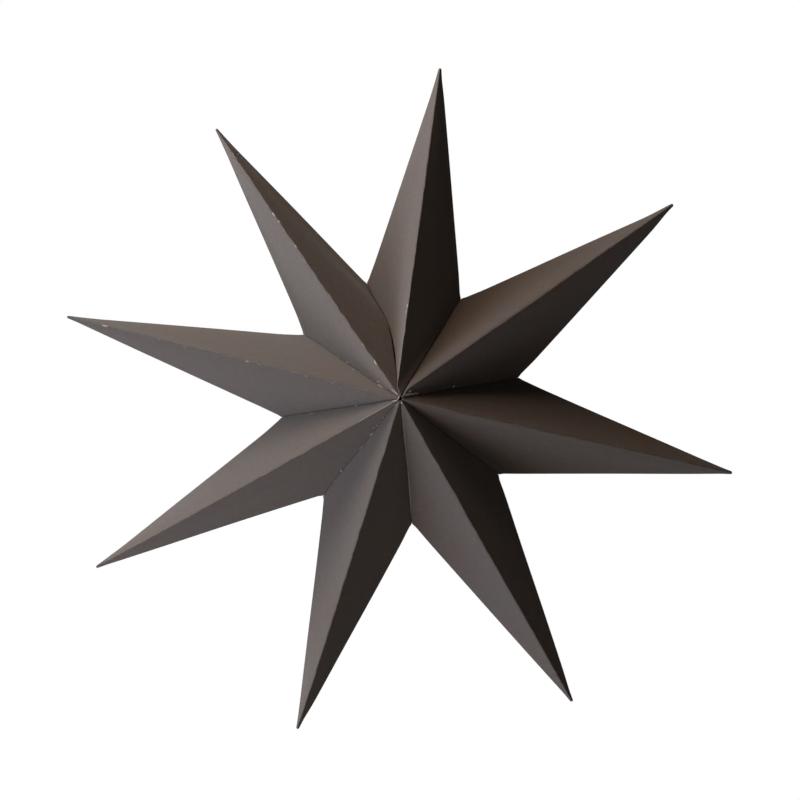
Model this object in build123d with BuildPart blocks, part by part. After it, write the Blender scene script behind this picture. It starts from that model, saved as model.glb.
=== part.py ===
from build123d import *
import math
import os

# A hanging star of eight hollow points, each folded from one blank of thin card.
# Lengths are in millimetres and angles in degrees. The star's own plane is XZ, with +Z up
# along the top point, and its front faces -Y. The origin is the centre of the star.

# The card, and how far back from the corner the outside of a pressed fold is flattened
card = 0.3
fold_flat = 0.35

# How far the folds of a point run from the centre before they would meet
tip_reach = 153.8
upper_left_reach = 150.2
left_reach = 155.6
lower_right_reach = 155.3

# The pressed layers of card make a small blunt end that much short of there
tip_cut = 3.5

# The ridges meet at the centre, this far in front of the star's plane and behind it
centre_height = 40.0
centre_hole_radius = 1.2

# The valley corners between evenly set points, how much each degree of a wider gap lets them out,
# and where the seam's corner is. Two of the corners lie off the middle of their gap.
even_gap = 45.0
valley_radius = 53.0
valley_give = 0.27
seam_valley_radius = 55.0
seam_valley_turn = 2.0
bottom_valley_turn = -0.5

# The ring of points was closed by hand at one seam, between the top and the upper left point.
# There the fold is bowed, and the facets beside it are full on one side and sunk on the other.
seam_bow = 4.0
seam_facet_bow = 4.2

# Glue flanges along the valleys, cut at a slant where the front one meets the back one
flange_width = 8.0
flange_corner_gap = 1.5
flange_end_slant = 8.0
window_depth = 1.2 * card

# The tab inside the back ridge that closes each blank
tab_width = 8.0
tab_end_width = 1.2

# Every point, counter-clockwise from the top as seen from the front, and the angle from it to the next:
# the points were glued by hand and stand a little unevenly
gaps = {
    "point_top": 40.7,
    "point_upper_left": 41.7,
    "point_left": 43.0,
    "point_lower_left": 44.1,
    "point_bottom": 47.4,
    "point_lower_right": 48.1,
    "point_right": 47.9,
    "point_upper_right": 47.1,
}
names = list(gaps)
reaches = {name: tip_reach for name in names}
reaches["point_upper_left"] = upper_left_reach
reaches["point_left"] = left_reach
reaches["point_lower_left"] = left_reach
reaches["point_lower_right"] = lower_right_reach

seam = names.index("point_top")
bottom = names.index("point_bottom")


def bearing(index):
    """The direction of a point, counter-clockwise from +X"""
    return 90.0 + sum(gaps[name] for name in names[:index])


def valley_bearing(index):
    """The direction of the valley after a point"""
    turn = {seam: seam_valley_turn, bottom: bottom_valley_turn}.get(index, 0.0)
    return bearing(index) + gaps[names[index]] / 2 + turn


def corner_radius(index):
    """The distance of the valley corner after a point from the centre"""
    if index == seam:
        return seam_valley_radius
    return valley_radius + valley_give * (gaps[names[index]] - even_gap)


def flat(direction, distance):
    """A place in the star's plane, seen from the front"""
    angle = math.radians(direction)
    return Vector(distance * math.cos(angle), distance * math.sin(angle))


def in_space(direction, distance):
    """The same place in the star's own frame"""
    place = flat(direction, distance)
    return Vector(place.X, 0, place.Y)


def across_point(index, distance):
    """A plane across a point: x towards the next point, y to the front"""
    direction = bearing(index)
    return Plane(
        origin=in_space(direction, distance),
        x_dir=in_space(direction + 90, 1),
        z_dir=in_space(direction, 1),
    )


def half_width(index, valley):
    """The half width that a point would have at the centre, from its tip and one valley corner"""
    reach = reaches[names[index]]
    radius = corner_radius(valley)
    angle = math.radians(valley_bearing(valley) - bearing(index))
    return abs(reach * radius * math.sin(angle) / (reach - radius * math.cos(angle)))


def facet_line(start, end, bow):
    """The line of a facet in a cross-section, flat or slightly bowed"""
    if bow:
        SagittaArc(start, end, bow)
    else:
        Line(start, end)


def cross_section(index, distance, inset=0.0):
    """The four facets of a point cut across, a kite that shrinks evenly towards the tip"""
    share = 1 - distance / reaches[names[index]]
    front = (0, centre_height * share)
    back = (0, -centre_height * share)
    next_side = (half_width(index, index) * share, 0)
    last_side = (-half_width(index, index - 1) * share, 0)
    sunk = seam_facet_bow * share if index == seam else 0
    full = seam_facet_bow * share if index == seam + 1 else 0
    with BuildSketch(across_point(index, distance)) as section:
        with BuildLine():
            facet_line(front, next_side, -sunk)
            facet_line(next_side, back, -sunk)
            facet_line(back, last_side, full)
            facet_line(last_side, front, full)
        make_face()
        if inset:
            offset(amount=-inset)
    return section.sketch


def valley_corner(index):
    """The corner where the side folds of two points meet, seen from the front"""
    return flat(valley_bearing(index), corner_radius(index))


def valley_fold(index):
    """The fold of a valley from the centre to its corner, seen from the front"""
    corner = valley_corner(index)
    if index == seam:
        middle = corner / 2 + flat(valley_bearing(index) - 90, seam_bow)
        ThreePointArc((0, 0), middle, corner)
    else:
        Line((0, 0), corner)


def share_of_star(index, inset=0.0):
    """The outline of a point's share of the star, between its two valleys, seen from the front"""
    far = 1.5 * tip_reach
    with BuildSketch(Plane.XZ) as outline:
        with BuildLine():
            valley_fold(index - 1)
            Polyline(
                valley_corner(index - 1),
                flat(valley_bearing(index - 1), far),
                flat(valley_bearing(index), far),
                valley_corner(index),
            )
            valley_fold(index)
        make_face()
        if inset:
            offset(amount=-inset)
    return outline.sketch


def tab_section(index, distance, width):
    """The glue tab cut across: it lies on the inside of a flat back facet, from the back ridge on"""
    share = 1 - distance / reaches[names[index]]
    side = -1 if index == seam else 1
    valley = index - 1 if index == seam else index
    ridge = Vector(0, -centre_height * share)
    along = (Vector(side * half_width(index, valley) * share, 0) - ridge).normalized()
    inwards = Vector(-along.Y, along.X) * side
    with BuildSketch(across_point(index, distance)) as section:
        with BuildLine():
            Polyline(
                ridge,
                ridge + along * width,
                ridge + along * width + inwards * 2 * card,
                ridge + inwards * 2 * card,
                close=True,
            )
        make_face()
    return section.sketch


def flange_window(index):
    """The opening between the front and back flanges of one valley, in the plane of that valley"""
    corner = corner_radius(index)
    slope = centre_height / corner
    top = centre_height - flange_width * math.hypot(1, slope)
    notch = corner - flange_corner_gap
    spread = math.tan(math.radians(flange_end_slant))
    bend = (top - notch * spread) / (slope - spread)
    bend_height = (notch - bend) * spread
    direction = valley_bearing(index)
    plane = Plane(x_dir=in_space(direction, 1), z_dir=in_space(direction + 90, 1), origin=(0, 0, 0))
    with BuildSketch(plane) as window:
        with BuildLine():
            Polyline(
                (0, top),
                (bend, bend_height),
                (notch, 0),
                (bend, -bend_height),
                (0, -top),
                close=True,
            )
        make_face()
    return window.sketch


def folded_point(index):
    """One blank, folded to a hollow point with its flanges turned in, and its tab glued down"""
    reach = reaches[names[index]]
    tip = reach - tip_cut
    hollow_end = reach - 3 * tip_cut

    with BuildPart() as hollow:
        loft([cross_section(index, 0, card), cross_section(index, hollow_end, card)], ruled=True)
        extrude(share_of_star(index, card), amount=centre_height, both=True, mode=Mode.INTERSECT)
        loft(
            [tab_section(index, 0, tab_width), tab_section(index, hollow_end, tab_end_width)],
            ruled=True,
            mode=Mode.SUBTRACT,
        )

    with BuildPart() as point:
        loft([cross_section(index, 0), cross_section(index, tip)], ruled=True)
        chamfer(point.edges().filter_by(lambda edge: edge.length > reach / 2), fold_flat)
        extrude(share_of_star(index), amount=centre_height, both=True, mode=Mode.INTERSECT)
        add(hollow.part, mode=Mode.SUBTRACT)
        for valley in (index - 1, index):
            bow = seam_bow if valley == seam else 0
            extrude(flange_window(valley), amount=window_depth, mode=Mode.SUBTRACT)
            extrude(flange_window(valley), amount=-bow - window_depth, mode=Mode.SUBTRACT)
        with BuildSketch(Plane.XZ):
            Circle(centre_hole_radius)
        extrude(amount=centre_height, both=True, mode=Mode.SUBTRACT)
    return point


os.makedirs("parts", exist_ok=True)
for number, name in enumerate(names):
    blank = folded_point(number)
    blank.part.label = name
    export_step(blank.part, f"parts/{name}.step")
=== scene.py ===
import math

import bmesh
import bpy
from mathutils import Matrix, Vector, noise
from mathutils.bvhtree import BVHTree

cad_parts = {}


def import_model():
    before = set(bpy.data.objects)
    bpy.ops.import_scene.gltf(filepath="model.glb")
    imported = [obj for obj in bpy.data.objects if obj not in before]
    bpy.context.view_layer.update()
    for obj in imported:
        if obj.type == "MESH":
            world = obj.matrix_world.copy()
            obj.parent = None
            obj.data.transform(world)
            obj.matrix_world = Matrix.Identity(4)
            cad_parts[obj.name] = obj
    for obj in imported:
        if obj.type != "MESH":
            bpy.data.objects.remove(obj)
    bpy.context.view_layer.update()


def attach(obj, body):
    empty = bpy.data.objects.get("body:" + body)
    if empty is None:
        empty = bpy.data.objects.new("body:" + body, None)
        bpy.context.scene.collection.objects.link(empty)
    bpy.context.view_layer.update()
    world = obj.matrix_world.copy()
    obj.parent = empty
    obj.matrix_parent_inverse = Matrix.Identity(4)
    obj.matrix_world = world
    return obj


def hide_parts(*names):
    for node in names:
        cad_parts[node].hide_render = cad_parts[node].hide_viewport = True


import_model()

# The star as the frame holds it: its plane is XZ, its front faces -Y and its top point runs along +Z.
# Lengths are in millimetres and angles in degrees until a mesh is made.
MM = 0.001

# The points, counter-clockwise from the top as seen from the front, and the angle from each to the next
NAMES = (
    "point_top",
    "point_upper_left",
    "point_left",
    "point_lower_left",
    "point_bottom",
    "point_lower_right",
    "point_right",
    "point_upper_right",
)
GAPS = (40.7, 41.7, 43.0, 44.1, 47.4, 48.1, 47.9, 47.1)

# The valley after this point is the seam where the ring was closed
SEAM = 0

# The card, how far back from a corner a pressed fold is rounded, and the most of a narrow facet that
# the rounding takes
CARD = 0.3
FOLD = 1.0
FOLD_MOST = 0.27
VALLEY_FOLD = 0.45
VALLEY_FOLD_MOST = 0.4

# How far the folds of a point run before they would meet, how far short of there it ends, and its domed end
TIP_REACH = 153.8
REACHES = {1: 150.2, 2: 155.6, 3: 155.6, 5: 155.3}
TIP_CUT = 3.5
TIP_ROUND = 0.35
TIP_RING = 0.7

# The ridges meet at the centre, round a small hole with worn corners
CENTRE_HEIGHT = 40.0
CENTRE_HOLE = 0.8
CENTRE_WEAR = 0.4
CENTRE_WEAR_STOP = 0.05

# The valley corners between evenly set points, how much each degree of a wider gap lets them out,
# where the seam's corner is, and the two corners that lie off the middle of their gap
EVEN_GAP = 45.0
VALLEY_RADIUS = 53.0
VALLEY_GIVE = 0.27
SEAM_VALLEY_RADIUS = 55.0
VALLEY_TURNS = {0: 2.0, 4: -0.5}

# How uneven a valley is, and how far one side of it lies behind the middle
VALLEY_WOBBLE = 0.35
VALLEY_STEP = 0.06

# How far the glued corner of each valley fills the notch between two points, close to the corner only
CORNER_FILLS = (0.4, 0.5, 0.4, 0.8, 0.4, 0.6, 0.4, 0.4)
CORNER_FILL_POWER = 8
CORNER_FILL_STOP = 0.03

# The closing seam, by share of the way out: how far its fold is bowed towards the top point, and how far
# it gapes
SEAM_BOW = (
    (0, 0),
    (0.07, 0.9),
    (0.2, 1.5),
    (0.38, 2.6),
    (0.55, 3.9),
    (0.65, 4.0),
    (0.76, 2.8),
    (0.88, 1.2),
    (1, 0),
)
SEAM_GAPE = (
    (0, 0.1),
    (0.15, 0.5),
    (0.3, 0.6),
    (0.5, 0.5),
    (0.6, 0.1),
    (0.72, 0.35),
    (0.88, 0.3),
    (1, 0),
)

# How far the seam stands in front of a straight fold, how far the top point's side of it lies behind that,
# how far along the two points it bows their facets, and how these ease off
SEAM_LIFT = 0.2
SEAM_STEP = 0.8
SEAM_RISE_POWER = 1.1
SEAM_STOP = 0.75
SEAM_EASE = 1.5

# Glue flanges along the valleys, and the least share of the height there that one leaves open
FLANGE_WIDTH = 8.0
FLANGE_CORNER_GAP = 1.5
FLANGE_SLANT = 8.0
FLANGE_LEAST = 0.4

# The tab inside the back ridge: its width, the most of a facet that it takes, its depth below the facet,
# and the shares of the point's length where it starts and stops
TAB_WIDTH = 8.0
TAB_END_WIDTH = 1.2
TAB_MOST = 0.8
TAB_DEPTH = 0.32
TAB_START = 0.03
TAB_STOP = 0.92

# How full the facets stand, how much that varies over one, and where along the point it starts and stops
BELLY = 0.2
WARP = 0.25
BELLY_START = 0.08
BELLY_STOP = 0.7
WARP_WAVES_ALONG = 2.6
WARP_WAVES_ACROSS = 1.1

# By point: how far its side folds lean towards the next point, and how much each is drawn in. The rest says
# where along the point that starts and stops, and from how far across a facet it shows
LEANS = (-0.3, -0.1, 0.15, 0.2, 0.25, 0.1, -0.15, -0.45)
DRAWN_IN = (0, 0.25, 0.2, 0.3, -0.1, -0.15, 0.05, 0)
SIDE_LEAN_START = 0.12
SIDE_LEAN_STOP = 0.85
SIDE_LEAN_FROM = 0.4
SIDE_WOBBLE = 0.1

# How far the front ridges lean, and how far two of them miss the centre. The rest says where along the point
# that starts and stops, and how far across a facet it shows
RIDGE_LEANS = (0, 0.2, -0.4, 0.3, 0.35, 0.15, -0.1, 0)
RIDGE_MISSES = {0: 2.1, 7: 1.45}
RIDGE_LEAN_START = 0.3
RIDGE_LEAN_STOP = 0.7
RIDGE_LEAN_TO = 0.6
RIDGE_MISS_START = 0.03
RIDGE_WOBBLE = 0.1
BACK_RIDGE_WOBBLE = 0.5

# How ragged the ridges are, the upper left one more than the others, and where along and across that shows
RAGGED = 0.35
RAGGED_RIDGES = {1: 0.75}
RAGGED_WAVES = 34
RAGGED_START = (0.05, 0.15)
RAGGED_STOP = 0.85
RAGGED_TO = 0.12

# Smooth unevenness along a fold: how many waves, and where it starts from either end.
# Plain numbers in the key of a noise only keep one fold's noise apart from another's
WOBBLE_WAVES = 2.3
WOBBLE_START = 0.12

# Rows of vertices along a point, closer together at its valley and its tip
VALLEY_ROWS = (0.005, 0.009, 0.015, 0.024, 0.036, 0.05)
TIP_ROWS = (0.965, 0.98, 0.99, 1.0)
FIRST_ROW = 0.07
ROW_STEP = 0.02
ROW_COUNT = 45
ALONG = [*VALLEY_ROWS, *(FIRST_ROW + ROW_STEP * n for n in range(ROW_COUNT)), *TIP_ROWS]

# Columns across a facet, the first of them this many fold widths from its edge, and the shares across
# a fold, a flange and the tab where their columns lie
ACROSS_COUNT = 16
NEAR_FOLD = 1.8
FOLD_SHARES = (0.25, 0.5, 0.75)
FLANGE_SHARES = (0.0, 0.12, 0.35, 0.65, 1.0)
TAB_SHARES = (0, 0.3, 0.65, 1)

# What each vertex knows for the material, in millimetres, and the value for a fold that is nowhere near
DISTANCES = ("ridge", "side", "valley", "tip")
FAR = 9.0


def bearing(index):
    """The direction of a point, counter-clockwise from +X as seen from the front"""
    return 90.0 + sum(GAPS[:index % 8])


def reach(index):
    """How far from the centre the folds of a point would meet"""
    return REACHES.get(index % 8, TIP_REACH)


def valley_bearing(index):
    """The direction of the valley after a point"""
    return bearing(index) + GAPS[index % 8] / 2 + VALLEY_TURNS.get(index % 8, 0.0)


def valley_radius(index):
    """The distance of that valley's corner from the centre"""
    if index % 8 == SEAM:
        return SEAM_VALLEY_RADIUS
    return VALLEY_RADIUS + VALLEY_GIVE * (GAPS[index % 8] - EVEN_GAP)


def valley_after(index, side):
    """The valley on one side of a point: side 1 is towards the next point, -1 towards the last one"""
    return (index if side > 0 else index - 1) % 8


def place(direction, distance, height=0.0):
    """A place by its direction and distance in the star's plane, and its height in front of it"""
    angle = math.radians(direction)
    return Vector((distance * math.cos(angle), -height, distance * math.sin(angle)))


def smooth(low, high, value):
    """0 below low, 1 above high, and an even curve between them"""
    t = min(1.0, max(0.0, (value - low) / (high - low)))
    return t * t * (3 - 2 * t)


def curve_through(points, x):
    """The height at x of a smooth curve through (x, height) points"""
    last = len(points) - 1
    k = next((number for number in range(1, last) if points[number][0] >= x), last)
    (x0, y0), (x1, y1) = points[k - 1], points[k]
    before = points[max(0, k - 2)]
    after = points[min(last, k + 1)]
    start_slope = (y1 - before[1]) / (x1 - before[0])
    stop_slope = (after[1] - y0) / (after[0] - x0)
    width = x1 - x0
    t = min(1.0, max(0.0, (x - x0) / width))
    return (
        (2 * t**3 - 3 * t**2 + 1) * y0
        + (t**3 - 2 * t**2 + t) * start_slope * width
        + (3 * t**2 - 2 * t**3) * y1
        + (t**3 - t**2) * stop_slope * width
    )


def wobble(seed, x, size):
    """A small smooth unevenness along a fold, none at its ends"""
    ends = smooth(0, WOBBLE_START, x) * smooth(0, WOBBLE_START, 1 - x)
    return size * ends * 2 * noise.noise(Vector((x * WOBBLE_WAVES, seed * 3.7, 0.5)))


def valley_edge(index, side, share, front, straight=False, filled=True):
    """The fold between a facet and its flange, from the centre to the valley corner"""
    valley = valley_after(index, side)
    fill = CORNER_FILLS[valley] * share**CORNER_FILL_POWER if filled else 0
    run = share * valley_radius(valley) + fill
    turn = (valley_bearing(valley) - bearing(index) + 180) % 360 - 180
    direction = bearing(index) + turn * min(1.0, run / CENTRE_HOLE)
    height = CENTRE_HEIGHT * min(1 - share, 1 - CENTRE_HOLE / reach(index))
    height -= CENTRE_WEAR * (1 - smooth(0, CENTRE_WEAR_STOP, share))
    spot = place(direction, max(CENTRE_HOLE, run), height)
    clockwise = place(direction - 90, 1)
    spot += clockwise * wobble(valley + 10 * front, share, VALLEY_WOBBLE)
    if valley == SEAM and not straight:
        rise = max(0.0, math.sin(math.pi * share)) ** SEAM_RISE_POWER
        gape = curve_through(SEAM_GAPE, share) if side > 0 and front > 0 else 0
        spot += clockwise * (curve_through(SEAM_BOW, share) + gape)
        spot.y += (SEAM_STEP if side > 0 else 0) * rise - SEAM_LIFT * rise
    else:
        spot.y += VALLEY_STEP * side * math.sin(math.pi * share)
    spot.y *= front
    return spot


def facet_normal(index, side, front):
    """The direction straight out of a flat facet"""
    valley = valley_after(index, side)
    apex = place(0, 0, CENTRE_HEIGHT * front)
    tip = place(bearing(index), reach(index))
    corner = place(valley_bearing(valley), valley_radius(valley))
    normal = (tip - apex).cross(corner - apex).normalized()
    return normal if normal.y * front < 0 else -normal


def ridge_lean(index, front, along):
    """How far a ridge lies off the middle of its point, towards the next one"""
    if front < 0:
        return wobble(index * 5 + 40, along, BACK_RIDGE_WOBBLE)
    lean = RIDGE_LEANS[index] * smooth(0, RIDGE_LEAN_START, along) * (1 - smooth(RIDGE_LEAN_STOP, 1, along))
    miss = RIDGE_MISSES.get(index, 0) * smooth(0, RIDGE_MISS_START, along) * (1 - along)
    return lean + miss + wobble(index, along, RIDGE_WOBBLE)


def ridge_raggedness(index, front, along):
    """The fine unevenness of a ridge that was pressed by hand"""
    ends = smooth(*RAGGED_START, along) * (1 - smooth(RAGGED_STOP, 1, along))
    ragged = RAGGED_RIDGES.get(index, RAGGED)
    return ragged * ends * noise.noise(Vector((along * RAGGED_WAVES, index * 3.1, front)))


def side_lean(index, side, along):
    """How far a side fold lies off the straight line to the tip, towards the next point"""
    lean = LEANS[index] - side * DRAWN_IN[index]
    lean = lean * smooth(0, SIDE_LEAN_START, along) * (1 - smooth(SIDE_LEAN_STOP, 1, along))
    return lean + wobble(index * 7 + side + 80, along, SIDE_WOBBLE)


def facet_spot(index, side, front, across, along):
    """A place on a facet: across runs from its ridge to its side fold, along from its valley to the tip"""
    plain = valley_edge(index, side, across, front, filled=False)
    base = plain.lerp(valley_edge(index, side, across, front), 1 - smooth(0, CORNER_FILL_STOP, along))
    if valley_after(index, side) == SEAM:
        plain = valley_edge(index, side, across, front, straight=True)
        base = plain.lerp(base, (1 - smooth(0, SEAM_STOP, along)) ** SEAM_EASE)
    tip = place(bearing(index), reach(index))
    outwards = place(bearing(index), 1)
    end = 1 - (TIP_CUT + TIP_ROUND) / (reach(index) - base.dot(outwards))
    spot = base.lerp(tip, along * end)
    sideways = place(bearing(index) + 90, 1)
    near_ridge = (1 - smooth(0, RIDGE_LEAN_TO, across)) * ridge_lean(index, front, along)
    near_ridge += (1 - smooth(0, RAGGED_TO, across)) * ridge_raggedness(index, front, along)
    near_side = smooth(SIDE_LEAN_FROM, 1, across) * side_lean(index, side, along)
    spot += sideways * (near_ridge + near_side)
    belly = math.sin(math.pi * across) * smooth(0, BELLY_START, along) * (1 - smooth(BELLY_STOP, 1, along))
    own_key = index * 9.1 + side * 2.3 + front * 4.7
    warp = noise.noise(Vector((along * WARP_WAVES_ALONG, across * WARP_WAVES_ACROSS, own_key)))
    spot += facet_normal(index, side, front) * belly * (BELLY + WARP * warp)
    return spot


def side_corner(index, side, front, along):
    """Where a facet would meet its neighbour at the side fold, if that were sharp"""
    return facet_spot(index, side, front, 1, along)


def facet_width(index, side, front, along):
    """How wide a facet is there, from its ridge to its side fold"""
    ridge = facet_spot(index, side, front, 0, along)
    return (side_corner(index, side, front, along) - ridge).length


def across_steps(width):
    """The columns of a facet, as shares across it, closer together at its two folds"""
    edge = min(FOLD / width, FOLD_MOST)
    halfway_to_middle = 0.5 * (edge + 0.5)
    near = min(NEAR_FOLD * edge, halfway_to_middle)
    inner = [near + (1 - 2 * near) * n / (ACROSS_COUNT - 1) for n in range(ACROSS_COUNT)]
    return [edge] + inner + [1 - edge]


def rounded(start, corner, end, share):
    """A place on the short curve that a pressed fold makes instead of its corner"""
    return start.lerp(corner, share).lerp(corner.lerp(end, share), share)


def flange_inner_height(valley, share):
    """How high above the star's plane the inner edge of a front flange lies"""
    corner = valley_radius(valley)
    slope = CENTRE_HEIGHT / corner
    top = CENTRE_HEIGHT - FLANGE_WIDTH * math.hypot(1, slope)
    spread = math.tan(math.radians(FLANGE_SLANT))
    run = share * corner
    least = FLANGE_LEAST * CENTRE_HEIGHT * (1 - share)
    return max(top - slope * run, (corner - FLANGE_CORNER_GAP - run) * spread, least)


class Blank:
    """The outside of one folded blank, with each vertex's distances to the folds, the valley and the tip"""

    def __init__(self, index):
        self.index = index
        self.first = -1 if index == SEAM else 1
        self.outwards = place(bearing(index), 1)
        self.mesh = bmesh.new()
        self.layers = [self.mesh.verts.layers.float.new(name) for name in DISTANCES]
        turns = [self.turn(along) for along in ALONG]
        # Near the valley and the tip the tab is left out, and only the fold round the ridge stays
        for along, last, following in zip(ALONG, turns, turns[1:]):
            columns = None if TAB_START < along < TAB_STOP else len(FOLD_SHARES) + 1
            self.strip(last["row"] + last["tab"][:columns], following["row"] + following["tab"][:columns])
        self.cap(turns[-1]["row"])
        self.valley_ends(turns[0])
        loose = [v for v in self.mesh.verts if not v.link_faces]
        bmesh.ops.delete(self.mesh, geom=loose, context="VERTS")
        bmesh.ops.recalc_face_normals(self.mesh, faces=self.mesh.faces)
        # A facet in front has to face the front, and the others follow it
        middle = turns[len(ALONG) // 2][self.first, 1][ACROSS_COUNT // 2]
        if middle.link_faces[0].normal.y > 0:
            bmesh.ops.reverse_faces(self.mesh, faces=self.mesh.faces)

    def vertex(self, spot, ridge=FAR, side=FAR, valley=FAR):
        made = self.mesh.verts.new(spot * MM)
        tip = reach(self.index) - TIP_CUT - spot.dot(self.outwards)
        for layer, distance in zip(self.layers, (ridge, side, valley, tip)):
            made[layer] = distance
        return made

    def strip(self, these, those):
        """A strip of faces between two rows of vertices"""
        for a, b, c, d in zip(these, these[1:], those[1:], those):
            self.mesh.faces.new((a, b, c, d))

    def facet(self, side, front, along):
        """One row of a facet, from the ridge to the side fold"""
        width = facet_width(self.index, side, front, along)
        made = []
        for across in across_steps(width):
            spot = facet_spot(self.index, side, front, across, along)
            valley = (spot - valley_edge(self.index, side, across, front)).length
            made.append(self.vertex(spot, across * width, (1 - across) * width, valley))
        return made

    def fold(self, start, corner, end, at_ridge):
        """One row of a fold's own vertices, between two facets"""
        leg = (corner - start.co / MM).length
        far = max(start[self.layers[0]], start[self.layers[1]])
        made = []
        for share in FOLD_SHARES:
            near = leg * abs(1 - 2 * share)
            spot = rounded(start.co / MM, corner, end, share)
            distances = (near, far) if at_ridge else (far, near)
            made.append(self.vertex(spot, *distances, start[self.layers[2]]))
        return made

    def tab(self, last, along):
        """One row of the tab, which goes round the back ridge and under the first facet"""
        ridge = facet_spot(self.index, self.first, -1, 0, along)
        width = facet_width(self.index, self.first, -1, along)
        edge = min(FOLD, FOLD_MOST * width)
        span = min(TAB_WIDTH + (TAB_END_WIDTH - TAB_WIDTH) * along, TAB_MOST * width)
        sunk = facet_normal(self.index, self.first, -1) * TAB_DEPTH
        spots = [
            facet_spot(self.index, self.first, -1, (edge + (span - edge) * share) / width, along) - sunk
            for share in TAB_SHARES
        ]
        inwards = (last.co / MM - ridge).normalized()
        corner = ridge + inwards * TAB_DEPTH / math.sin((spots[1] - spots[0]).angle(inwards))
        return self.fold(last, corner, spots[0], True) + [self.vertex(spot) for spot in spots]

    def turn(self, along):
        """One turn round the point, from the free edge on the back ridge to the tab"""
        made = {"row": []}
        row = made["row"]
        facets = (
            (self.first, -1, True),
            (self.first, 1, False),
            (-self.first, 1, True),
            (-self.first, -1, False),
        )
        for side, front, ridge_first in facets:
            facet = self.facet(side, front, along)
            columns = facet if ridge_first else facet[::-1]
            corner = facet_spot(self.index, side, front, 0 if ridge_first else 1, along)
            if row:
                fold = self.fold(row[-1], corner, columns[0].co / MM, ridge_first)
                made["ridge" if ridge_first else "side", side] = fold
                row += fold
            else:
                row.append(self.vertex(corner, 0, columns[0][self.layers[1]], columns[0][self.layers[2]]))
            row += columns
            made[side, front] = facet
        made["tab"] = self.tab(row[-1], along)
        return made

    def cap(self, rim):
        """The pressed end of the point, slightly domed"""
        centre = sum((v.co for v in rim), Vector()) / len(rim) / MM
        ring = []
        for v in rim:
            spot = centre.lerp(v.co / MM, TIP_RING) + self.outwards * TIP_ROUND * TIP_RING
            ring.append(self.vertex(spot))
        self.strip(rim + rim[:1], ring + ring[:1])
        top = self.vertex(centre + self.outwards * TIP_ROUND)
        for a, b in zip(ring, ring[1:] + ring[:1]):
            self.mesh.faces.new((a, b, top))

    def flange(self, columns, side, front):
        """The strip that turns in along the valley, held with glue to the neighbour's"""
        valley = valley_after(self.index, side)
        width = facet_width(self.index, side, front, ALONG[0])
        strips = []
        for column, across in zip(columns, across_steps(width)):
            edge = valley_edge(self.index, side, across, front)
            inner = edge.copy()
            inner.y = -front * flange_inner_height(valley, across)
            turned = edge + Vector((0, front * min(VALLEY_FOLD, VALLEY_FOLD_MOST * abs(edge.y)), 0))
            spots = [rounded(column.co / MM, edge, turned, share) for share in FOLD_SHARES]
            spots += [turned.lerp(inner, share) for share in FLANGE_SHARES]
            ridge_gap, side_gap = (column[layer] for layer in self.layers[:2])
            strips.append([column] + [self.vertex(spot, ridge_gap, side_gap, 0) for spot in spots])
        for last, following in zip(strips, strips[1:]):
            self.strip(last, following)
        return strips

    def valley_ends(self, turn):
        """The flanges, and the ends of the folds between them at the valleys"""
        strips = {
            (side, front): self.flange(turn[side, front], side, front)
            for side in (1, -1)
            for front in (1, -1)
        }
        for side in (1, -1):
            corner = side_corner(self.index, side, 1, 0)
            near, far = (strips[side, front][-1] for front in (-self.first * side, self.first * side))
            self.fold_end(near, turn["side", side], far, corner)
        corner = facet_spot(self.index, 1, 1, 0, 0)
        near, far = (strips[side, 1][0] for side in (self.first, -self.first))
        self.fold_end(near, turn["ridge", -self.first], far, corner)

    def fold_end(self, near, fold, far, corner):
        """Closes a fold at its valley end, between the flanges beside it"""
        spots = [rounded(near[2].co / MM, corner, far[2].co / MM, share) for share in FOLD_SHARES]
        ends = []
        for spot, v in zip(spots, fold):
            ridge_gap, side_gap = (v[layer] for layer in self.layers[:2])
            ends.append(self.vertex(spot, ridge_gap, side_gap, 0))
        self.mesh.faces.new((fold[0], near[0], near[1], near[2], ends[0]))
        self.strip(fold, ends)
        self.mesh.faces.new((far[0], fold[-1], ends[-1], far[2], far[1]))


# The colours of the card, of its wear, of the shade painted at its folds and valleys, and of the bare fibre
# under its surface
WARM_CARD = (0.148, 0.12, 0.105)
GREY_CARD = (0.14, 0.123, 0.116)
DEEP_CARD = (0.122, 0.099, 0.088)
FIBRE = (0.195, 0.166, 0.146)
PAINTED_FOLD_SHADE = (0.06, 0.047, 0.04)
PRESSED = (0.1, 0.095, 0.09)
RUBBED = (0.3, 0.255, 0.22)
BARE = (0.62, 0.58, 0.52)


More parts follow.
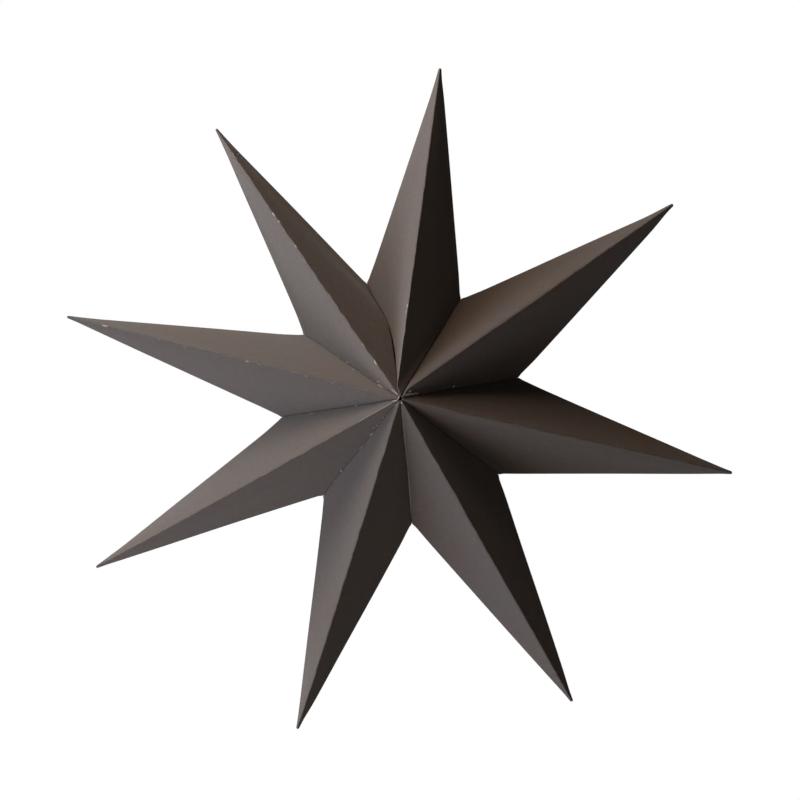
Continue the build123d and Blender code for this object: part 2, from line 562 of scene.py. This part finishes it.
class Shader:
    """A material, and the nodes that colour it"""

    def __init__(self, name):
        self.material = bpy.data.materials.new(name)
        self.material.use_nodes = True
        self.tree = self.material.node_tree
        self.surface = self.tree.nodes["Principled BSDF"]

    def node(self, kind, **settings):
        """A node with its properties and inputs set"""
        made = self.tree.nodes.new(kind)
        for key, value in settings.items():
            if key in made.inputs:
                made.inputs[key].default_value = value
            else:
                setattr(made, key, value)
        return made

    def join(self, out, socket):
        self.tree.links.new(out, socket)

    def grain(self, scale, detail, roughness=0.6):
        """Even noise fixed to the object, scale in features per metre"""
        coordinates = self.node("ShaderNodeTexCoord")
        made = self.node("ShaderNodeTexNoise", Scale=scale, Detail=detail, Roughness=roughness)
        self.join(coordinates.outputs["Object"], made.inputs["Vector"])
        return made.outputs["Fac"]

    def ramp(self, value, low, high, start=0.0, stop=1.0):
        """value taken from low..high to start..stop, clamped and smooth"""
        made = self.node("ShaderNodeMapRange", interpolation_type="SMOOTHSTEP")
        made.inputs["From Min"].default_value = low
        made.inputs["From Max"].default_value = high
        made.inputs["To Min"].default_value = start
        made.inputs["To Max"].default_value = stop
        self.join(value, made.inputs["Value"])
        return made.outputs["Result"]

    def times(self, a, b):
        """The product of a value with another value or with a number"""
        made = self.node("ShaderNodeMath", operation="MULTIPLY")
        self.join(a, made.inputs[0])
        if isinstance(b, (int, float)):
            made.inputs[1].default_value = b
        else:
            self.join(b, made.inputs[1])
        return made.outputs["Value"]

    def mix(self, share, a, b):
        """Colour a with a share of colour b over it"""
        made = self.node("ShaderNodeMix", data_type="RGBA")
        self.join(share, made.inputs["Factor"])
        for socket, value in ((made.inputs["A"], a), (made.inputs["B"], b)):
            if isinstance(value, tuple):
                socket.default_value = (*value, 1)
            else:
                self.join(value, socket)
        return made.outputs["Result"]

    def stored(self, name):
        """What the vertices hold under a name"""
        return self.node("ShaderNodeAttribute", attribute_name=name).outputs["Fac"]


def card_material():
    """Dark brown card: cloudy and fibrous, worn pale along the ridges, with painted shade darkening it
    towards the side folds and along the valleys
    """
    shader = Shader("card")
    fibres = shader.grain(scale=1500, detail=3, roughness=0.7)
    clouds = shader.ramp(shader.grain(scale=42, detail=3), low=0.36, high=0.66)
    patches = shader.ramp(shader.grain(scale=420, detail=5, roughness=0.8), low=0.36, high=0.66)
    colour = shader.mix(clouds, WARM_CARD, GREY_CARD)
    colour = shader.mix(shader.times(patches, 0.6), colour, DEEP_CARD)
    colour = shader.mix(shader.times(shader.ramp(fibres, low=0.35, high=0.75), 0.35), colour, FIBRE)

    # Painted shade: the card darkens towards each side fold, where the fold turns away from the light
    painted_side_shade = shader.ramp(shader.stored("side"), low=0.2, high=1.1, start=0.8, stop=0)
    colour = shader.mix(painted_side_shade, colour, PAINTED_FOLD_SHADE)
    # Painted shade: the card darkens along each valley, in the groove where two points meet
    painted_valley_shade = shader.ramp(shader.stored("valley"), low=0, high=1.5, start=0.35, stop=0)
    colour = shader.mix(painted_valley_shade, colour, PAINTED_FOLD_SHADE)
    pressed = shader.ramp(shader.stored("tip"), low=1, high=7, start=0.5, stop=0)
    colour = shader.mix(pressed, colour, PRESSED)

    ridge = shader.ramp(shader.stored("ridge"), low=0, high=0.7, start=1, stop=0)
    away_from_tip = shader.ramp(shader.stored("tip"), low=2, high=22, start=0.1, stop=1)
    rubbing = shader.grain(scale=240, detail=6, roughness=0.75)
    rubbed = shader.ramp(rubbing, low=0.42, high=0.64, start=0.2, stop=0.8)
    colour = shader.mix(shader.times(shader.times(ridge, away_from_tip), rubbed), colour, RUBBED)
    specks = shader.ramp(shader.grain(scale=620, detail=2), low=0.735, high=0.76, start=0, stop=0.5)
    colour = shader.mix(specks, colour, RUBBED)
    colour = shader.mix(shader.stored("bare"), colour, BARE)
    shader.join(colour, shader.surface.inputs["Base Color"])

    roughness = shader.ramp(patches, low=0, high=1, start=0.55, stop=0.68)
    shader.join(roughness, shader.surface.inputs["Roughness"])
    coarse = shader.node("ShaderNodeBump", Strength=0.5, Distance=0.0003)
    shader.join(shader.grain(scale=160, detail=5, roughness=0.65), coarse.inputs["Height"])
    fine = shader.node("ShaderNodeBump", Strength=0.15, Distance=0.00005)
    shader.join(fibres, fine.inputs["Height"])
    shader.join(coarse.outputs["Normal"], fine.inputs["Normal"])
    shader.join(fine.outputs["Normal"], shader.surface.inputs["Normal"])
    shader.surface.inputs["Specular IOR Level"].default_value = 0.0
    shader.surface.inputs["Sheen Weight"].default_value = 0.2
    shader.surface.inputs["Sheen Roughness"].default_value = 0.5
    return shader.material


card = card_material()


def add_piece(name, shape):
    """A piece of card from a finished shape, which rides with the star"""
    mesh = bpy.data.meshes.new(name)
    shape.to_mesh(mesh)
    shape.free()
    for polygon in mesh.polygons:
        polygon.use_smooth = True
    mesh.materials.append(card)
    piece = bpy.data.objects.new(name, mesh)
    bpy.context.collection.objects.link(piece)
    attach(piece, "root")
    return piece


# The eight blanks, and their surfaces to lay the marks on
surfaces = []
for index, name in enumerate(NAMES):
    blank = Blank(index)
    surfaces.append(BVHTree.FromBMesh(blank.mesh))
    piece = add_piece(name + "_card", blank.mesh)
    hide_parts(name)
    thickness = piece.modifiers.new("card thickness", "SOLIDIFY")
    thickness.thickness = CARD * MM
    thickness.offset = -1

# The places of each mark, as x and z on the front of the star.
# Flecks where the card has rubbed bare on the ridges, and a few loose ones on the facets
BRIGHT_FLECKS = (
    ((-65.3, 75.5), (-64.0, 73.8)),
    ((-62.5, 72.4), (-61.4, 71.2)),
    ((-53.6, 62.2), (-52.5, 60.8)),
    ((-13.1, 15.1), (-11.6, 13.1)),
    ((-134.3, 18.0), (-131.5, 17.6)),
    ((-68.7, 9.0), (-66.9, 8.7)),
    ((-1.7, 41.6), (-1.8, 39.6)),
    ((-2.0, 38.9), (-2.0, 37.1)),
)
FAINT_FLECKS = (
    ((-59.5, 68.6), (-58.4, 67.0)),
    ((-86.3, 100.8), (-85.8, 99.9)),
    ((-19.4, 22.0), (-18.3, 20.6)),
    ((-113.6, 15.0), (-112.9, 14.5)),
    ((-108.3, 14.7), (-107.4, 14.1)),
    ((-97.3, 12.6), (-95.0, 12.2)),
    ((-63.1, 8.3), (-61.5, 8.0)),
    ((-42.3, 5.4), (-40.5, 5.0)),
    ((-30.5, 3.6), (-29.0, 3.4)),
    ((-2.0, 36.2), (-2.0, 35.1)),
    ((-1.9, 32.5), (-1.8, 31.1)),
    ((-51.1, 20.2), (-50.7, 20.0)),
    ((-43.8, 8.4), (-43.5, 8.2)),
    ((-50.3, 45.2), (-50.0, 44.9)),
    ((-16.9, 31.7), (-16.6, 31.5)),
    ((-30.1, 25.2), (-29.9, 25.1)),
    ((24.5, 26.9), (24.8, 26.8)),
    ((26.1, 26.4), (26.4, 26.3)),
    ((20.0, 22.5), (20.3, 22.3)),
    ((-10.5, -27.4), (-10.3, -27.6)),
)

# Glue that dried in the valleys on the left
BRIGHT_GLUE = (
    ((-10.3, 5.4), (-7.9, 3.9)),
    ((-8.7, -12.5), (-8.0, -12.0)),
    ((-11.0, -16.9), (-9.9, -15.3)),
    ((-19.1, -4.9), (-18.0, -4.7)),
    ((-22.1, -32.7), (-21.3, -33.8)),
)
FAINT_GLUE = (
    ((-6.9, 3.9), (-6.4, 3.6)),
    ((-22.0, 11.1), (-21.2, 10.7)),
    ((-19.5, 10.3), (-18.4, 9.9)),
    ((-29.3, 15.7), (-28.7, 15.5)),
    ((-25.3, 14.2), (-24.3, 13.8)),
    ((-11.0, 6.6), (-9.6, 6.2)),
    ((-16.0, -4.6), (-15.7, -4.5)),
    ((-38.4, -10.0), (-36.9, -9.6)),
    ((-6.6, -8.7), (-6.0, -8.9)),
    ((-7.6, -10.5), (-7.1, -10.8)),
    ((-10.0, -13.7), (-9.5, -13.2)),
    ((-14.9, -23.2), (-13.4, -21.0)),
    ((-24.4, -38.1), (-24.0, -37.4)),
)

# Worn corners round the middle, pale strokes to the right of it, and the thin pale edges of a ridge and
# a valley below it
CORNERS = (
    ((-4.2, 3.6), (-1.9, 2.1), (-0.5, 1.3)),
    ((-0.6, 1.3), (-0.4, 0.3), (-1.0, -0.7)),
    ((-1.2, -0.9), (-1.9, -1.2), (-3.2, -1.3)),
    ((-3.1, 1.7), (-2.7, 1.3)),
    ((0.4, -1.1), (0.9, -1.6)),
    ((-0.6, -1.8), (-1.8, -3.3)),
)
PALE_STROKES = (
    ((21.9, 8.4), (22.9, 9.2)),
    ((1.4, 1.7), (4.3, 2.6), (7.8, 3.6)),
    ((3.2, 3.2), (4.4, 4.2)),
    ((0.6, -1.4), (0.9, -2.1)),
)
PALE_EDGES = (
    ((-3.3, -2.3), (-7.3, -5.1), (-11.4, -8.0), (-17.0, -12.0)),
    ((0.9, -2.4), (2.3, -8.7), (4.6, -19.0), (6.8, -27.9)),
    ((6.9, -28.2), (8.9, -37.8), (11.0, -48.0)),
)

# A mark's steps from one place to the next, its sides, and how far it wanders and swells by its width
MARK_STEPS = 4
MARK_SIDES = 6
MARK_WANDER = 0.3
MARK_SWELL = 0.5
MARK_END = 0.02
AHEAD_OF_STAR = 100


def on_front(x, z):
    """The place on the front of the star over x and z, and the direction out of the card there"""
    start = Vector((x, -AHEAD_OF_STAR, z)) * MM
    hits = [tree.ray_cast(start, Vector((0, 1, 0))) for tree in surfaces]
    if not any(hit[0] for hit in hits):
        rim = Vector((x, -CENTRE_HEIGHT, z)) * MM
        nearest = (tree.find_nearest(rim) for tree in surfaces)
        return min(nearest, key=lambda hit: hit[3])[0] / MM, Vector((0, -1, 0))
    spot, normal = min((hit[:2] for hit in hits if hit[0]), key=lambda hit: hit[0].y)
    return spot / MM, normal if normal.y < 0 else -normal


def mark_rings(number, stroke, width, height):
    """The rings round one raised stroke, as places: it wanders a little and tapers to both ends"""
    places = [on_front(*spot) for spot in stroke]
    steps = MARK_STEPS * (len(places) - 1)
    angles = [2 * math.pi * n / MARK_SIDES for n in range(MARK_SIDES)]
    rings = []
    for step in range(steps + 1):
        k = min(step // MARK_STEPS, len(places) - 2)
        share = step / MARK_STEPS - k
        (start, start_normal), (stop, stop_normal) = places[k], places[k + 1]
        spot = start.lerp(stop, share)
        normal = start_normal.lerp(stop_normal, share).normalized()
        aside = (stop - start).normalized().cross(normal).normalized()
        taper = math.sqrt(max(MARK_END, 1 - (2 * step / steps - 1) ** 4))
        taper *= 1 + MARK_SWELL * noise.noise(Vector((step, number, 7.3)))
        spot += aside * MARK_WANDER * width * noise.noise(Vector((step * 0.9, number, 1.7)))
        rings.append([
            spot + taper * (aside * width / 2 * math.cos(angle) + normal * height * math.sin(angle))
            for angle in angles
        ])
    return rings


def marks(name, strokes, width, height, bare):
    """Short raised strokes laid on the card, each from one place to the next in x and z"""
    shape = bmesh.new()
    layer = shape.verts.layers.float.new("bare")
    for number, stroke in enumerate(strokes):
        rings = [
            [shape.verts.new(spot * MM) for spot in ring]
            for ring in mark_rings(number, stroke, width, height)
        ]
        for ring, following in zip(rings, rings[1:]):
            for a, b, c, d in zip(ring, ring[1:] + ring[:1], following[1:] + following[:1], following):
                shape.faces.new((a, b, c, d))
        shape.faces.new(rings[0])
        shape.faces.new(rings[-1])
    for v in shape.verts:
        v[layer] = bare
    bmesh.ops.recalc_face_normals(shape, faces=shape.faces)
    add_piece(name, shape)


marks("rubbed_flecks", BRIGHT_FLECKS, width=0.6, height=0.08, bare=0.8)
marks("faint_flecks", FAINT_FLECKS, width=0.5, height=0.06, bare=0.3)
marks("dried_glue", BRIGHT_GLUE, width=0.5, height=0.1, bare=0.9)
marks("faint_glue", FAINT_GLUE, width=0.5, height=0.08, bare=0.5)
marks("worn_corners", CORNERS, width=0.5, height=0.12, bare=0.65)
marks("pale_strokes", PALE_STROKES, width=0.9, height=0.15, bare=1.0)
marks("pale_edges", PALE_EDGES, width=0.4, height=0.1, bare=0.4)

# The camera, the floor and the lamps are placed in metres and degrees.
# The camera is in front of the star, turned with it by the small angles at which it hangs in the view
CAMERA_DISTANCE = 0.9833
CAMERA_SHIFT = (-0.00017, -0.00123)
ROLL = -6.91
PITCH = -2.71
YAW = 0.1
LENS = 100
SENSOR_WIDTH = 36


def stand_camera():
    """The camera, placed by where it sees the star"""
    data = bpy.data.cameras.new("camera")
    data.lens = LENS
    data.sensor_width = SENSOR_WIDTH
    camera = bpy.data.objects.new("camera", data)
    bpy.context.collection.objects.link(camera)
    star_to_view = (
        Matrix.Translation((*CAMERA_SHIFT, -CAMERA_DISTANCE))
        @ Matrix.Rotation(math.radians(ROLL), 4, "Z")
        @ Matrix.Rotation(math.radians(PITCH), 4, "X")
        @ Matrix.Rotation(math.radians(YAW), 4, "Y")
        @ Matrix.Rotation(math.radians(-90), 4, "X")
    )
    camera.matrix_world = star_to_view.inverted()
    bpy.context.scene.camera = camera


stand_camera()
bpy.context.scene.view_settings.view_transform = "Standard"


def seen_rays(tree):
    """1 for the rays that show the background, straight or in a reflection, and 0 for the other ones"""
    path = tree.nodes.new("ShaderNodeLightPath")
    seen = path.outputs["Is Camera Ray"]
    for ray in ("Is Glossy Ray", "Is Transmission Ray"):
        either = tree.nodes.new("ShaderNodeMath")
        either.operation = "MAXIMUM"
        tree.links.new(seen, either.inputs[0])
        tree.links.new(path.outputs[ray], either.inputs[1])
        seen = either.outputs["Value"]
    return seen


# A floor well below the star, which ends before the main view would show it
FLOOR_HEIGHT = -0.6
FLOOR_SIDE = 4
FLOOR_BACK = 1.2
FLOOR_GREY = 0.3
FLOOR_GLOW = 0.7


def pale_floor():
    """The floor, which looks pale to the rays that see it and throws little light back at the star"""
    mesh = bpy.data.meshes.new("floor")
    corners = (
        (-FLOOR_SIDE, -FLOOR_SIDE),
        (FLOOR_SIDE, -FLOOR_SIDE),
        (FLOOR_SIDE, FLOOR_BACK),
        (-FLOOR_SIDE, FLOOR_BACK),
    )
    mesh.from_pydata([(x, y, FLOOR_HEIGHT) for x, y in corners], [], [(0, 1, 2, 3)])
    floor = bpy.data.objects.new("floor", mesh)
    bpy.context.collection.objects.link(floor)

    material = bpy.data.materials.new("floor")
    material.use_nodes = True
    tree = material.node_tree
    surface = tree.nodes["Principled BSDF"]
    surface.inputs["Base Color"].default_value = (FLOOR_GREY, FLOOR_GREY, FLOOR_GREY, 1)
    surface.inputs["Emission Color"].default_value = (1, 1, 1, 1)
    glow = tree.nodes.new("ShaderNodeMath")
    glow.operation = "MULTIPLY"
    glow.inputs[1].default_value = FLOOR_GLOW
    tree.links.new(seen_rays(tree), glow.inputs[0])
    tree.links.new(glow.outputs["Value"], surface.inputs["Emission Strength"])
    mesh.materials.append(material)


def world(strength):
    """Soft even light, and white where the camera looks past the object"""
    made = bpy.data.worlds.new("studio")
    bpy.context.scene.world = made
    made.use_nodes = True
    tree = made.node_tree
    tree.nodes.clear()
    seen = tree.nodes.new("ShaderNodeBackground")
    seen.inputs["Strength"].default_value = 1
    seen.inputs["Color"].default_value = (1, 1, 1, 1)
    light = tree.nodes.new("ShaderNodeBackground")
    light.inputs["Strength"].default_value = strength
    mix = tree.nodes.new("ShaderNodeMixShader")
    out = tree.nodes.new("ShaderNodeOutputWorld")
    tree.links.new(seen_rays(tree), mix.inputs["Fac"])
    tree.links.new(light.outputs["Background"], mix.inputs[1])
    tree.links.new(seen.outputs["Background"], mix.inputs[2])
    tree.links.new(mix.outputs["Shader"], out.inputs["Surface"])


def soft_box(name, spot, width, height, power, colour=(1, 1, 1)):
    """A soft box that faces the star, its height upright"""
    data = bpy.data.lights.new(name, "AREA")
    data.shape = "RECTANGLE"
    data.size = width
    data.size_y = height
    data.energy = power
    data.color = colour
    lamp = bpy.data.objects.new(name, data)
    bpy.context.collection.objects.link(lamp)
    lamp.location = spot
    lamp.rotation_mode = "QUATERNION"
    lamp.rotation_quaternion = Vector(spot).to_track_quat("Z", "Y")
    lamp.visible_camera = False


# Four soft boxes stand on the left: one level with the star, a cool and a warm one low down, and one
# high up. A weak one stands in front, and one behind lights the back
pale_floor()
world(strength=0.006)
soft_box("level", (-0.5, -0.04, 0.25), width=0.3, height=0.6, power=3.45, colour=(0.86, 0.94, 1))
soft_box("low", (-0.45, -0.17, -0.48), width=0.5, height=0.5, power=3.2, colour=(0.38, 0.63, 1))
soft_box("low_warm", (-0.35, -0.2, -0.5), width=0.5, height=0.5, power=2.2, colour=(1, 0.74, 0.48))
soft_box("high", (-0.5, -0.3, 0.8), width=0.6, height=0.6, power=4.8, colour=(1, 0.79, 0.6))
soft_box("front", (0.3, -0.9, 0.5), width=0.6, height=0.6, power=0.16, colour=(1, 0.75, 0.6))
soft_box("back", (0.25, 0.95, 0.2), width=0.7, height=0.7, power=7)
